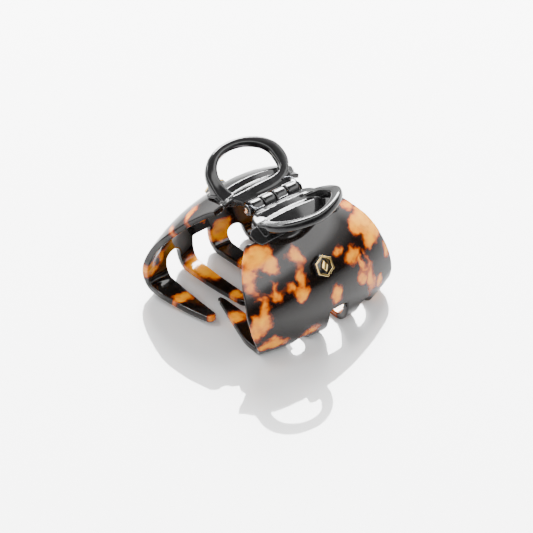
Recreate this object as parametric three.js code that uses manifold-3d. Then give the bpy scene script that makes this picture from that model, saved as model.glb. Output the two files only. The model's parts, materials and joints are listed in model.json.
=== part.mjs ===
// Claw clip: two tortoiseshell acetate jaws on one spring hinge, each with a black finger loop.
// Millimetres, +Z up, +X along the hinge. The closed clip stands on the flat soles of its teeth at Z = 0.
// Both shells have the same shape, the front one turned half a turn about Z; only their tooth gaps differ.

import * as THREE from 'three';
import { mergeVertices } from 'three/addons/utils/BufferGeometryUtils.js';
import Module from 'manifold-3d';

const wasm = await Module();
wasm.setup();

// ---------------------------------------------------------------- driving dimensions

const HINGE_Z = 44.6;          // height of the hinge axis
const HINGE_X = 2;             // the hinge and the loops sit this far along +X of the shells' middle
const GAP = 0.3;               // running clearance between pieces

// the shell: a slice of a flattened egg, 2.6 mm thick
const SHELL_T = 2.6;
const BELLY_Y = 37.6;          // how far the belly stands out from the hinge plane
const BELLY_Z = 10.6;          // height of the fullest part of the belly
const CROWN = 39;              // rise from the belly to the top of the egg
const EGG_X = [66, 50];        // half length of the whole egg, at the belly and at the top
const TOP_ANGLE = 79;          // the shell's top edge, in degrees above the belly
const SOLE_Y = [30, 24];       // the flat sole that the clip stands on
const TIP = [-4.8, 1.8];       // underside of the tooth tips: past the middle, and up
const END_LIFT = 3;            // the bottom bend is this much rounder under the tooth at the long end

// half lengths of the shell on its long end (-X) and its short end (+X), each at a height
const LONG_END = [[49, 21], [48, 24.5], [46, 29], [41, 34.6], [36, 37], [25, 39], [16, 40.2], [0, 39]];
const SHORT_END = [
  [46, 22.5], [45, 25.3], [43, 28.3], [39.5, 30.7], [34.6, 32.8], [22, 34.7], [10, 33.4], [0, 29],
];
const LONG_TIP = 32.6;
const SHORT_TIP = 21.4;

// the three gaps between the four teeth: middle at the root, middle at the tips, half widths, and how far
// below the belly each gap starts on each shell
const GAPS = [
  { root: -22, tip: -22, half: 4.2, tipHalf: 6.5, flat: false, front: 3.2, back: -0.5 },
  { root: -5.6, tip: -4.4, half: 4.7, tipHalf: 6.6, flat: true, front: -1.5, back: -1.5 },
  { root: 11.6, tip: 13.2, half: 3.9, tipHalf: 6.6, flat: false, front: 6, back: 2.5 },
];
const TIP_ROUND = 2;           // radius of the rounded tooth tips
const SEAT = { half: 20, depth: 7.3 };          // the handle's seat in the top edge
const SHORT_CORNER = 9.6;      // how much lower the top edge is at the short end

// the handle: finger loop, leaf and knuckles
const LEAN = 21;               // rise of the loop's plane from level, in degrees
const LOOP_Y = 17.8;           // middle of the loop, from the hinge axis
const LOOP_OUT = [18.4, 12.7, 13.2];   // half width, height beyond the middle, height towards the hinge
const LOOP_HOLE = [13, 9.3, 8.3];
const LOOP_T = 4;
const LOOP_DIP = 1.5;          // how much lower the loop is at its root than at its far end
const LOOP_FLOOR = -4.3;       // the loop's underside goes no lower than this at its root
const FRONT_DROOP = 3.2;       // how far each loop sinks towards the clip's long front end
const BACK_DROOP = 2.8;
const LEAF_T = 2.8;
const LEAF_Z = -1.2;           // the leaf lies this far below the hinge axis
const LEAF_X = 14.5;
const SADDLE = { length: 13.8, thick: 0.9, sunk: -0.8, wall: 6 };
// the foot's two ends, and how far the second draws in at the top
const FRONT_SADDLE = [-21.6, 20.4, 6];
const BACK_SADDLE = [-17.2, 21.4, 0];

// the hinge
const KNUCKLE_R = 3;
const BORE_R = 1.85;
const BARREL_X = 12;           // half length of the four knuckles together
const PIN_R = 0.75;
const PIN_HEAD_R = 1.25;
const WASHER_R = 2.3;
const COIL_R = [1.05, 1.55];
const WIRE_R = 0.26;

// the emblem: a plain six-sided badge with a lozenge
const BADGE_R = 4.6;
const BADGE_ANGLE = 32.4;      // its place on the shell, in degrees above the belly
const BADGE_BASE = 1.5;
const BADGE_FACE = 0.7;

// ---------------------------------------------------------------- materials

const tortoise = new THREE.MeshStandardMaterial({ color: 0x3a1c0c, roughness: 0.12, metalness: 0 });
const black = new THREE.MeshStandardMaterial({ color: 0x0b0b0c, roughness: 0.1, metalness: 0 });
const steel = new THREE.MeshStandardMaterial({ color: 0x9aa0a8, roughness: 0.3, metalness: 1 });
const copper = new THREE.MeshStandardMaterial({ color: 0xc98a5a, roughness: 0.3, metalness: 1 });
const gold = new THREE.MeshStandardMaterial({ color: 0xe3b44c, roughness: 0.2, metalness: 1 });

// ---------------------------------------------------------------- small helpers

const rad = THREE.MathUtils.degToRad;

function solid(geometry) {
  const g = geometry.clone();
  g.deleteAttribute('normal');
  g.deleteAttribute('uv');
  const m = mergeVertices(g, 1e-5);
  const triVerts = m.index
    ? new Uint32Array(m.index.array)
    : Uint32Array.from({ length: m.attributes.position.count }, (_, i) => i);
  return new wasm.Manifold(new wasm.Mesh({
    numProp: 3, vertProperties: new Float32Array(m.attributes.position.array), triVerts,
  }));
}

function geometryOf(manifold) {
  const mesh = manifold.getMesh();
  const flat = new THREE.BufferGeometry();
  flat.setAttribute('position', new THREE.BufferAttribute(new Float32Array(mesh.vertProperties), 3));
  flat.setIndex(new THREE.BufferAttribute(new Uint32Array(mesh.triVerts), 1));
  flat.computeVertexNormals();
  return flat;
}

// a closed round solid about X: a bar when inner is 0, otherwise a tube
function rodX(x0, x1, outer, inner = 0, sides = 20) {
  const profile = [[inner, x0], [outer, x0], [outer, x1], [inner, x1]];
  if (inner > 0) profile.push([inner, x0]);
  const g = new THREE.LatheGeometry(profile.map((p) => new THREE.Vector2(...p)), sides);
  return solid(g.rotateZ(-Math.PI / 2));
}

// smooth interpolation through [key, value] pairs whose keys run downwards
function along(knots, key) {
  if (key >= knots[0][0]) return knots[0][1];
  for (let i = 1; i < knots.length; i += 1) {
    if (key >= knots[i][0]) {
      const t = (key - knots[i][0]) / (knots[i - 1][0] - knots[i][0]);
      return THREE.MathUtils.lerp(knots[i][1], knots[i - 1][1], t);
    }
  }
  return knots[knots.length - 1][1];
}

// ---------------------------------------------------------------- the shell's surface

// the profile at the middle of the shell, as (y, z), from the top edge round the belly to the tip
const profile = new THREE.CurvePath();
profile.add(new THREE.EllipseCurve(0, BELLY_Z, BELLY_Y, CROWN, rad(TOP_ANGLE), 0, true));
profile.add(new THREE.CubicBezierCurve(
  new THREE.Vector2(BELLY_Y, BELLY_Z), new THREE.Vector2(BELLY_Y, 4.5),
  new THREE.Vector2(SOLE_Y[0] + 5.5, 0), new THREE.Vector2(SOLE_Y[0], 0),
));
profile.add(new THREE.LineCurve(new THREE.Vector2(SOLE_Y[0], 0), new THREE.Vector2(SOLE_Y[1], 0)));
profile.add(new THREE.CubicBezierCurve(
  new THREE.Vector2(SOLE_Y[1], 0), new THREE.Vector2(12, 0),
  new THREE.Vector2(4, 1), new THREE.Vector2(...TIP),
));
const [ARC_TOP, ARC_BELLY, ARC_SOLE, LENGTH] = profile.getCurveLengths();

// the rise of the underside towards the long end, between the belly and the tip
function endLift(x, s) {
  const t = THREE.MathUtils.clamp((s - ARC_TOP) / (LENGTH - ARC_TOP), 0, 1);
  return END_LIFT * THREE.MathUtils.smoothstep(-x, 25, 40) * Math.sin(Math.PI * t ** 0.6) ** 1.5;
}

// the point of the outer surface at x, s millimetres along the profile from the top edge
function outer(x, s) {
  const t = THREE.MathUtils.clamp(s, 0, LENGTH);
  const p = profile.getPointAt(t / LENGTH);
  const q = profile.getTangentAt(t / LENGTH).multiplyScalar(s - t);
  const [y, z] = [p.x + q.x, p.y + q.y];
  const rise = THREE.MathUtils.clamp((z - BELLY_Z) / CROWN, 0, 1);
  const k = Math.sqrt(1 - (x / THREE.MathUtils.lerp(...EGG_X, rise)) ** 2);
  return new THREE.Vector3(x, y * k, z > BELLY_Z ? BELLY_Z + (z - BELLY_Z) * k : z + endLift(x, t));
}

// the surface's unit normal, pointing out of the clip
function outward(x, s) {
  const d = 0.05;
  const down = outer(x, s + d).sub(outer(x, s - d));
  const across = outer(x + d, s).sub(outer(x - d, s));
  return across.cross(down).normalize();
}

function offsetPoint(x, s, height) {
  return outer(x, s).addScaledVector(outward(x, s), height);
}

// a closed slab of the surface: rows are { s, x0, x1 }, between two heights over the outer surface
function slab(rows, columns, low, high) {
  const position = [];
  const index = [];
  for (const height of [high, low]) {
    for (const { s, x0, x1 } of rows) {
      for (let c = 0; c <= columns; c += 1) {
        const x = THREE.MathUtils.lerp(x0, x1, c / columns);
        position.push(...offsetPoint(x, s, height).toArray());
      }
    }
  }
  const wide = columns + 1;
  const under = rows.length * wide;
  const quad = (a, b, c, d) => index.push(a, c, b, a, d, c);
  for (let r = 0; r < rows.length - 1; r += 1) {
    for (let c = 0; c < columns; c += 1) {
      const a = r * wide + c;
      quad(a, a + wide, a + wide + 1, a + 1);
      quad(under + a, under + a + 1, under + a + wide + 1, under + a + wide);
    }
    const left = r * wide;
    const right = left + columns;
    quad(left, under + left, under + left + wide, left + wide);
    quad(right, right + wide, under + right + wide, under + right);
  }
  for (let c = 0; c < columns; c += 1) {
    const last = (rows.length - 1) * wide + c;
    quad(c, c + 1, under + c + 1, under + c);
    quad(last, under + last, under + last + 1, last + 1);
  }
  const g = new THREE.BufferGeometry();
  g.setAttribute('position', new THREE.Float32BufferAttribute(position, 3));
  g.setIndex(index);
  return solid(g);
}

// rows of the whole shell, closer together round the bottom bend and at the tips
function shellStations() {
  const stations = [];
  const stretch = (from, to, n) => {
    for (let i = 0; i < n; i += 1) stations.push(THREE.MathUtils.lerp(from, to, i / n));
  };
  stretch(0, ARC_TOP, 13);
  stretch(ARC_TOP, ARC_BELLY, 6);
  stretch(ARC_BELLY, ARC_SOLE, 1);
  stretch(ARC_SOLE, LENGTH - TIP_ROUND, 5);
  stretch(LENGTH - TIP_ROUND, LENGTH, 3);
  stations.push(LENGTH);
  return stations;
}

// how much a rounded tip has drawn in at s
function tipInset(s) {
  const d = Math.max(0, s - (LENGTH - TIP_ROUND));
  return TIP_ROUND - Math.sqrt(Math.max(0, TIP_ROUND ** 2 - d ** 2));
}

function endHalf(knots, tipValue, s) {
  const z = profile.getPointAt(s / LENGTH).y;
  if (s <= ARC_SOLE) return along(knots, z);
  const t = (s - ARC_SOLE) / (LENGTH - ARC_SOLE);
  return THREE.MathUtils.lerp(knots[knots.length - 1][1], tipValue, t) - tipInset(s);
}

function gapCutter(gap, side) {
  const start = ARC_TOP + gap[side];
  const rows = [];
  const add = (s, draw) => {
    const t = (s - start) / (LENGTH - start);
    const middle = THREE.MathUtils.lerp(gap.root, gap.tip, t);
    const half = THREE.MathUtils.lerp(gap.half, gap.tipHalf, t ** 1.3) * draw + tipInset(Math.min(s, LENGTH));
    rows.push({ s, x0: middle - half, x1: middle + half });
  };
  if (!gap.flat) {
    for (const a of [6, 30, 60]) {
      add(start + gap.half * (1 - Math.cos(rad(a))), Math.sin(rad(a)));
    }
  }
  const first = gap.flat ? start : start + gap.half;
  for (let i = 0; i <= 8; i += 1) add(THREE.MathUtils.lerp(first, LENGTH - TIP_ROUND, i / 8), 1);
  for (let i = 1; i <= 3; i += 1) add(LENGTH - TIP_ROUND + (TIP_ROUND * i) / 3, 1);
  add(LENGTH + 1.5, 1);
  return slab(rows, 1, -SHELL_T - 1.2, 1.2);
}

// blind holes for the two pins that fix the handle
const PIN_PLACES = [-11, 11];
const PIN_S = 10.5;

function fixingPin(x, radius, low, high) {
  const n = outward(x, PIN_S);
  const g = new THREE.CylinderGeometry(radius, radius, high - low, 12);
  g.translate(0, (high + low) / 2, 0);
  g.applyQuaternion(new THREE.Quaternion().setFromUnitVectors(new THREE.Vector3(0, 1, 0), n));
  return g.translate(...outer(x, PIN_S).toArray());
}

function shell(side) {
  const rows = shellStations().map((s) => ({
    s,
    x0: -endHalf(LONG_END, LONG_TIP, s),
    x1: endHalf(SHORT_END, SHORT_TIP, s),
  }));
  let body = slab(rows, 12, -SHELL_T, 0);
  for (const gap of GAPS) body = body.subtract(gapCutter(gap, side));
  const cut = (x0, x1, depth) => slab([-1.5, depth].map((s) => ({ s, x0, x1 })), 6, -SHELL_T - 1, 1);
  body = body.subtract(cut(-SEAT.half, SEAT.half, SEAT.depth)).subtract(cut(SEAT.half - 1, 30, SHORT_CORNER));
  for (const x of PIN_PLACES) body = body.subtract(solid(fixingPin(x, 0.75 + GAP, -1.9, 1)));
  return geometryOf(body);
}

// ---------------------------------------------------------------- the handle

// from the loop's own plane (x along the hinge, y out from its axis, z up off the plane) to its place
function leanOver(x) {
  return new THREE.Matrix4()
    .makeTranslation(x, 0, HINGE_Z)
    .multiply(new THREE.Matrix4().makeRotationX(rad(LEAN)));
}

function ovalShape([halfX, far, near], squareness) {
  const points = [];
  const n = 32;
  for (let i = 0; i < n; i += 1) {
    const a = (i / n) * 2 * Math.PI;
    const [c, s] = [Math.cos(a), Math.sin(a)];
    const power = s < 0 ? 2 / squareness : 1;
    points.push(new THREE.Vector2(
      halfX * Math.sign(c) * Math.abs(c) ** power,
      LOOP_Y + (s < 0 ? near : far) * Math.sign(s) * Math.abs(s) ** power,
    ));
  }
  return new THREE.Shape(points);
}

function frontDroop(x, y) {
  return FRONT_DROOP * THREE.MathUtils.smoothstep(x, -19, 3) * THREE.MathUtils.smoothstep(y, 4, 13);
}

function backDroop(x, y) {
  const root = THREE.MathUtils.smoothstep(y, 3, 9) - THREE.MathUtils.smoothstep(y, 12, 28);
  return BACK_DROOP * THREE.MathUtils.smoothstep(-x, 2, 17) * Math.max(0, root);
}

function loop(droop) {
  const bevel = 1.4;
  const shape = ovalShape(LOOP_OUT.map((v) => v - bevel), 2.3);
  shape.holes.push(ovalShape(LOOP_HOLE.map((v) => v + bevel), 5));
  const g = new THREE.ExtrudeGeometry(shape, {
    depth: LOOP_T - 2 * bevel, bevelEnabled: true, bevelThickness: bevel, bevelSize: bevel, bevelSegments: 2,
  });
  const position = g.translate(0, 0, -LOOP_T / 2 + bevel).getAttribute('position');
  for (let i = 0; i < position.count; i += 1) {
    const [x, y] = [position.getX(i), position.getY(i)];
    const dip = LOOP_DIP * (1 - THREE.MathUtils.smoothstep(y, 6, 22)) + droop(x, y);
    position.setZ(i, Math.max(position.getZ(i) - dip, LOOP_FLOOR - 0.25 * Math.max(0, y - 9)));
  }
  return solid(g);
}

function leaf() {
  const root = KNUCKLE_R + 0.5;
  const shape = new THREE.Shape();
  shape.moveTo(-BARREL_X, root);
  shape.lineTo(BARREL_X, root);
  shape.lineTo(LEAF_X, root + 3);
  shape.lineTo(LEAF_X, LOOP_Y - LOOP_HOLE[2]);
  shape.lineTo(-LEAF_X, LOOP_Y - LOOP_HOLE[2]);
  shape.lineTo(-LEAF_X, root + 3);
  const g = new THREE.ExtrudeGeometry(shape, { depth: LEAF_T, bevelEnabled: false });
  return solid(g.translate(0, 0, LEAF_Z - LEAF_T / 2));
}

// this handle's two knuckles; the other handle's two fall between them
function knuckles() {
  let body = null;
  for (const x0 of [-BARREL_X / 2, BARREL_X / 2]) {
    const [a, b] = [x0 + GAP / 2, x0 + BARREL_X / 2 - GAP / 2];
    const arm = new THREE.BoxGeometry(b - a, KNUCKLE_R + 1.5, LEAF_T);
    arm.translate((a + b) / 2, (KNUCKLE_R + 1.5) / 2 + 0.2, LEAF_Z);
    const one = rodX(a, b, KNUCKLE_R).add(solid(arm));
    body = body ? body.add(one) : one;
  }
  return body.subtract(rodX(-BARREL_X - 1, BARREL_X + 1, BORE_R));
}

// the foot: a block sunk in the shell's seat, with a lip over the seat's edge and a thin plate on the shell
function saddle(ends) {
  const rows = (stations) => stations.map((s) => {
    const inset = 0.12 * Math.max(0, s - 10) ** 2;
    return { s, x0: ends[0] + inset, x1: ends[1] - inset - ends[2] * Math.max(0, 1 - s / SEAT.depth) };
  });
  const lip = SEAT.depth - GAP - 1.1;
  const block = slab(rows([0.2, 2.2, 4.2, SEAT.depth - 2 * GAP]), 8, -SHELL_T, SADDLE.sunk);
  return block.add(slab(rows([lip, lip + 0.9]), 8, -SHELL_T, GAP + SADDLE.thick))
    .add(slab(rows([lip, 8, 10, 12, SADDLE.length]), 8, GAP, GAP + SADDLE.thick));
}

// the wall between the loop's root and the plate: the loop's outline drawn down onto the shell
function skirt(x, ends) {
  const shape = ovalShape(LOOP_OUT.map((v) => v - 0.3), 2.3);
  shape.holes.push(ovalShape(LOOP_HOLE.map((v) => v + 1), 5));
  const g = new THREE.ExtrudeGeometry(shape, { depth: SADDLE.wall, bevelEnabled: false });
  const room = [0.2, 1.8, 3.4, 5].map((s) => ({ s, x0: ends[0], x1: ends[1] }));
  const above = slab(room, 8, SADDLE.sunk - 0.5, SADDLE.wall);
  return solid(g.translate(0, 0, -SADDLE.wall).applyMatrix4(leanOver(x))).intersect(above);
}

// the room that the shell's top takes out of the handle
function shellRoom() {
  const block = (x0, x1, s0) => {
    const rows = [s0, (s0 + 16) / 2, 16].map((s) => ({ s, x0, x1 }));
    return slab(rows, 10, -SHELL_T - GAP, GAP);
  };
  return block(-27, 27, SEAT.depth - GAP).add(block(-27, -SEAT.half + GAP, -2));
}

function handle(x, ends, droop) {
  const flat = geometryOf(loop(droop).add(leaf()).add(knuckles()));
  let body = solid(flat.applyMatrix4(leanOver(x)));
  body = body.add(saddle(ends)).add(skirt(x, ends)).subtract(shellRoom());
  for (const at of PIN_PLACES) body = body.subtract(solid(fixingPin(at, 0.75 + GAP, -1, GAP + 0.8)));
  return geometryOf(body);
}

// ---------------------------------------------------------------- the hinge's small pieces

function hingePin() {
  const end = BARREL_X + 2.1;
  const body = rodX(-end, end, PIN_R, 0, 16)
    .add(rodX(-end, -end + 0.6, PIN_HEAD_R, 0, 16))
    .add(rodX(end - 0.6, end, PIN_HEAD_R, 0, 16));
  return geometryOf(body).translate(HINGE_X, 0, HINGE_Z);
}

function washer(side) {
  const x = side * (BARREL_X + 1.05);
  return geometryOf(rodX(x - 0.2, x + 0.2, WASHER_R, PIN_R + 0.25)).translate(HINGE_X, 0, HINGE_Z);
}

// the spring's envelope: its coil inside the knuckles, and a leg lying on each handle's leaf
function springLeg() {
  const x = BARREL_X + 0.5;
  const top = LOOP_T / 2 - LOOP_DIP + GAP + WIRE_R;
  const path = new THREE.CatmullRomCurve3([
    new THREE.Vector3(x, 0.2, 1.3), new THREE.Vector3(x, 1.9, 2), new THREE.Vector3(x, 3.5, 1.6),
    new THREE.Vector3(x - 0.6, 5, top), new THREE.Vector3(x - 3, 5.8, top),
  ]);
  const ring = new THREE.Shape();
  ring.absarc(0, 0, WIRE_R, 0, 2 * Math.PI);
  const g = new THREE.ExtrudeGeometry(ring, { extrudePath: path, steps: 12, curveSegments: 4 });
  return g.applyMatrix4(leanOver(0));
}

function torsionSpring() {
  const half = BARREL_X + 0.6;
  const coil = geometryOf(rodX(-half, half, COIL_R[1], COIL_R[0], 16)).translate(0, 0, HINGE_Z);
  const back = springLeg();
  const front = back.clone().rotateZ(Math.PI);
  const spring = solid(coil).add(solid(back)).add(solid(front));
  return geometryOf(spring).translate(HINGE_X, 0, 0);
}

// ---------------------------------------------------------------- the emblem

// a six-sided outline, taller than wide
function hexagon(radius) {
  const points = [];
  for (let i = 0; i < 6; i += 1) {
    const a = rad(90 + 60 * i);
    points.push(new THREE.Vector2(radius * Math.cos(a), radius * Math.sin(a)));
  }
  return points;
}

function lozenge(halfX, halfY) {
  return [[halfX, 0], [0, halfY], [-halfX, 0], [0, -halfY]].map((p) => new THREE.Vector2(...p));
}

function plate(outline, holes, z0, z1) {
  const shape = new THREE.Shape(outline);
  for (const hole of holes) shape.holes.push(new THREE.Path(hole));
  const g = new THREE.ExtrudeGeometry(shape, { depth: z1 - z0, bevelEnabled: false });
  return g.translate(0, 0, z0);
}

// puts a piece drawn flat onto the shell, its +Z outward and its +Y up the shell
function ontoShell(geometry) {
  const s = (ARC_TOP * (TOP_ANGLE - BADGE_ANGLE)) / TOP_ANGLE;
  const n = outward(0, s);
  const up = outer(0, s - 1).sub(outer(0, s + 1)).normalize();
  const side = up.clone().cross(n).normalize();
  const basis = new THREE.Matrix4().makeBasis(side, up, n);
  return geometry.applyMatrix4(basis.setPosition(outer(0, s)));
}

const FLOOR_OF_BADGE = 0.5;
const badgeBase = () => ontoShell(plate(hexagon(BADGE_R), [], FLOOR_OF_BADGE, FLOOR_OF_BADGE + BADGE_BASE));

function badgeFrame() {
  const z0 = FLOOR_OF_BADGE + BADGE_BASE + 0.15;
  return ontoShell(plate(hexagon(BADGE_R), [hexagon(BADGE_R - 0.9)], z0, z0 + BADGE_FACE));
}

function badgeLozenge() {
  const z0 = FLOOR_OF_BADGE + BADGE_BASE + 0.15;
  return ontoShell(plate(lozenge(1.5, 2.3), [], z0, z0 + BADGE_FACE));
}

// ---------------------------------------------------------------- assembly

function add(group, name, geometry, material) {
  const mesh = new THREE.Mesh(geometry, material);
  mesh.name = name;
  group.add(mesh);
}

function jaw(side, hingeX, saddleEnds, droop) {
  const group = new THREE.Group();
  add(group, `${side}_shell`, shell(side), tortoise);
  add(group, `${side}_handle`, handle(hingeX, saddleEnds, droop), black);
  add(group, `${side}_emblem_base`, badgeBase(), black);
  add(group, `${side}_emblem_frame`, badgeFrame(), gold);
  add(group, `${side}_emblem_lozenge`, badgeLozenge(), gold);
  PIN_PLACES.forEach((x, i) => {
    add(group, `${side}_fixing_pin_${i + 1}`, fixingPin(x, 0.75, -1.6, GAP + 0.5), steel);
  });
  return group;
}

const group = new THREE.Group();
const front = jaw('front', -HINGE_X, FRONT_SADDLE, frontDroop);
front.rotation.z = Math.PI;
group.add(front, jaw('back', HINGE_X, BACK_SADDLE, backDroop));
add(group, 'hinge_pin', hingePin(), copper);
add(group, 'pin_washer_left', washer(-1), steel);
add(group, 'pin_washer_right', washer(1), steel);
add(group, 'torsion_spring', torsionSpring(), steel);

export default group;
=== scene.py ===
"""Claw clip: fine shells, handles, spring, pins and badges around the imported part.

Lengths in the shape functions are millimetres in the part's frame; MM turns them into metres.
"""
import json
import math

import bpy
import numpy as np
from mathutils import Matrix, Vector
from mathutils.geometry import delaunay_2d_cdt


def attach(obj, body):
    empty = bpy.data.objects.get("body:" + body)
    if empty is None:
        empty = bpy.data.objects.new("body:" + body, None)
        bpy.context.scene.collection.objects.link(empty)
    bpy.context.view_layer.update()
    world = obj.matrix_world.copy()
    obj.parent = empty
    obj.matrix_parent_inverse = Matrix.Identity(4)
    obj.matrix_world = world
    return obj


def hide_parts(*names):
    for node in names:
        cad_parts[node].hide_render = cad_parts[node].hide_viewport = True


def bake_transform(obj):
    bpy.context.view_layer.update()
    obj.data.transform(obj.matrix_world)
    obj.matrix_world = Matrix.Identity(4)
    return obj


MM = 0.001
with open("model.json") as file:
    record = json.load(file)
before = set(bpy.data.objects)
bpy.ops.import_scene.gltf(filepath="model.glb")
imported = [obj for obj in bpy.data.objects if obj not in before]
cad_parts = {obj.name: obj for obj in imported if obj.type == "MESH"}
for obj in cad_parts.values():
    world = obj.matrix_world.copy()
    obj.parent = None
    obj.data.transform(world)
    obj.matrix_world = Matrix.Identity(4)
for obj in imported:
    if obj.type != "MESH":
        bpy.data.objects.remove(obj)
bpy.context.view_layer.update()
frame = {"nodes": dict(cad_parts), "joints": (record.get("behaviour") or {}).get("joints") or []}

# ---------------------------------------------------------------- the shell's shape, as in the CAD

HINGE = Vector(frame["joints"][0]["pos_m"]) / MM
GAP = 0.3                                   # clearance between pieces
SHELL_T = 2.6
BELLY_Y, BELLY_Z, CROWN = 37.6, 10.6, 39.0  # the widest point, and the rise above it
EGG_X = (66.0, 50.0)                        # half length of the egg at the belly and at the crown
TOP_ANGLE = 79.0                            # the top edge, in degrees round from the belly
SOLE_Y = (30.0, 24.0)
TIP = (-4.8, 1.8)
END_LIFT = 3.0                              # how far the long end's tooth bows up off the floor
# the end edges, as heights and distances from the middle, and those distances at the tips
LONG_END = [(49, 21), (48, 24.5), (46, 29), (41, 34.6), (36, 37), (25, 39), (16, 40.2), (0, 39)]
SHORT_END = [(46, 22.5), (45, 25.3), (43, 28.3), (39.5, 30.7), (34.6, 32.8), (22, 34.7),
             (10, 33.4), (0, 29)]
LONG_TIP, SHORT_TIP = 32.6, 21.4
GAPS = [  # middles at the root and the tips, half widths there, straight root, start past belly
    (-22, -22, 4.2, 6.5, False, {"front": 3.2, "back": -0.5}),
    (-5.6, -4.4, 4.7, 6.6, True, {"front": -1.5, "back": -1.5}),
    (11.6, 13.2, 3.9, 6.6, False, {"front": 6.0, "back": 2.5}),
]
TIP_ROUND = 2.0
# the seat for the handle's foot: its left end, its right end, its depth, and the corner past it
SEAT_LEFT, SEAT_RIGHT = {"front": -20.0, "back": -17.5}, 18.6
SEAT_DEPTH, SHORT_CORNER = 7.3, 9.6
SLOPE_STEP, NORMAL_STEP = 0.05, 0.08        # half steps for directions along the surface


def smoothstep(v, a, b):
    t = np.clip((np.asarray(v, float) - a) / (b - a), 0, 1)
    return t * t * (3 - 2 * t)


def bezier(points, n):
    p = np.array(points, float)
    t = np.linspace(0, 1, n)[:, None]
    return ((1 - t) ** 3 * p[0] + 3 * (1 - t) ** 2 * t * p[1] + 3 * (1 - t) * t * t * p[2]
            + t ** 3 * p[3])


def arc_length(points):
    return np.r_[0, np.cumsum(np.linalg.norm(np.diff(points, axis=0), axis=1))]


def make_profile():
    """The middle profile as (y, z), from the top edge round the belly to the tooth's tip.

    With it come the lengths to the belly, to the sole's two ends and to the tip.
    """
    a = np.radians(np.linspace(TOP_ANGLE, 0, 800))
    points = np.c_[BELLY_Y * np.cos(a), BELLY_Z + CROWN * np.sin(a)]
    bend = bezier([(BELLY_Y, BELLY_Z), (BELLY_Y, 4.5), (SOLE_Y[0] + 5.5, 0), (SOLE_Y[0], 0)], 200)
    sole = np.array([(SOLE_Y[0], 0), (SOLE_Y[1], 0)])
    tooth = bezier([(SOLE_Y[1], 0), (12, 0), (4, 1), TIP], 300)
    marks = []
    for piece in (bend, sole, tooth):
        marks.append(arc_length(points)[-1])
        points = np.r_[points, piece[1:]]
    return points, marks + [arc_length(points)[-1]]


PROFILE, MARKS = make_profile()
PROFILE_S = arc_length(PROFILE)
TO_BELLY, TO_TOOTH, LENGTH = MARKS[0], MARKS[2], MARKS[3]


def profile_at(s):
    return np.interp(s, PROFILE_S, PROFILE[:, 0]), np.interp(s, PROFILE_S, PROFILE[:, 1])


def outer(x, s):
    """The outer surface at x, s millimetres along the profile from the top edge."""
    x, s = np.broadcast_arrays(np.asarray(x, float), np.asarray(s, float))
    t = np.clip(s, 0, LENGTH)
    y, z = profile_at(t)
    y2, z2 = profile_at(np.minimum(t + SLOPE_STEP, LENGTH))
    y1, z1 = profile_at(np.maximum(t - SLOPE_STEP, 0))
    run = np.hypot(y2 - y1, z2 - z1)
    y = y + (s - t) * (y2 - y1) / run
    z = z + (s - t) * (z2 - z1) / run
    rise = np.clip((z - BELLY_Z) / CROWN, 0, 1)
    k = np.sqrt(1 - (x / (EGG_X[0] + (EGG_X[1] - EGG_X[0]) * rise)) ** 2)
    u = np.clip((t - TO_BELLY) / (LENGTH - TO_BELLY), 0, 1)
    lift = END_LIFT * smoothstep(-x, 25, 40) * np.abs(np.sin(np.pi * u ** 0.6)) ** 1.5
    height = np.where(z > BELLY_Z, BELLY_Z + (z - BELLY_Z) * k, z + lift)
    return np.stack([x, y * k, height], -1)


def outward(x, s):
    d = NORMAL_STEP
    x, s = np.asarray(x, float), np.asarray(s, float)
    down = outer(x, s + d) - outer(x, s - d)
    across = outer(x + d, s) - outer(x - d, s)
    n = np.cross(across, down)
    return n / np.linalg.norm(n, axis=-1, keepdims=True)


def over(x, s, height):
    """A point at a height over the outer surface."""
    return outer(x, s) + outward(x, s) * np.asarray(height, float)[..., None]


# ---------------------------------------------------------------- meshes and pieces

BODY = {"front": "front_jaw", "back": "back_jaw"}
TURN = {"front": -1.0, "back": 1.0}  # the front jaw is the back one turned half a turn about Z


def turned(points, side):
    return np.asarray(points, float) * [TURN[side], TURN[side], 1.0]


def circle(n):
    return np.linspace(0, 2 * np.pi, n, endpoint=False)


def new_object(name, points, faces, smooth=True):
    mesh = bpy.data.meshes.new(name)
    mesh.from_pydata([tuple(p) for p in np.asarray(points, float) * MM], [], faces)
    mesh.update()
    mesh.polygons.foreach_set("use_smooth", [smooth] * len(mesh.polygons))
    obj = bpy.data.objects.new(name, mesh)
    bpy.context.scene.collection.objects.link(obj)
    return obj


def loft(rings, closed_rows=True, capped=False):
    """Faces between rings of equal length; rings is an array (rows, around, 3)."""
    rows, around = rings.shape[:2]
    faces = []
    for r in range(rows if closed_rows else rows - 1):
        a, b = r * around, ((r + 1) % rows) * around
        for c in range(around):
            d = (c + 1) % around
            faces.append((a + c, a + d, b + d, b + c))
    if capped:
        faces.append(tuple(range(around))[::-1])
        faces.append(tuple((rows - 1) * around + c for c in range(around)))
    return rings.reshape(-1, 3), faces


def revolve(profile, sides):
    """A closed (x, radius) profile turned about X."""
    a, p = circle(sides), np.array(profile, float)
    rings = np.stack([np.broadcast_to(p[:, 0], (sides, len(p))),
                      np.outer(np.cos(a), p[:, 1]), np.outer(np.sin(a), p[:, 1])], -1)
    return loft(rings)


def turned_bar(profile, sides):
    """An open (x, radius) profile turned about X and closed at both ends."""
    rings = np.array([[(x, r * math.cos(t), r * math.sin(t)) for t in circle(sides)]
                      for x, r in profile])
    return loft(rings, closed_rows=False, capped=True)


def prism(outline, z0, z1):
    p = np.array(outline, float)
    n = len(p)
    points = np.r_[np.c_[p, np.full(n, z0)], np.c_[p, np.full(n, z1)]]
    faces = [tuple(range(n))[::-1], tuple(range(n, 2 * n))]
    return points, faces + [(i, (i + 1) % n, n + (i + 1) % n, n + i) for i in range(n)]


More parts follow.
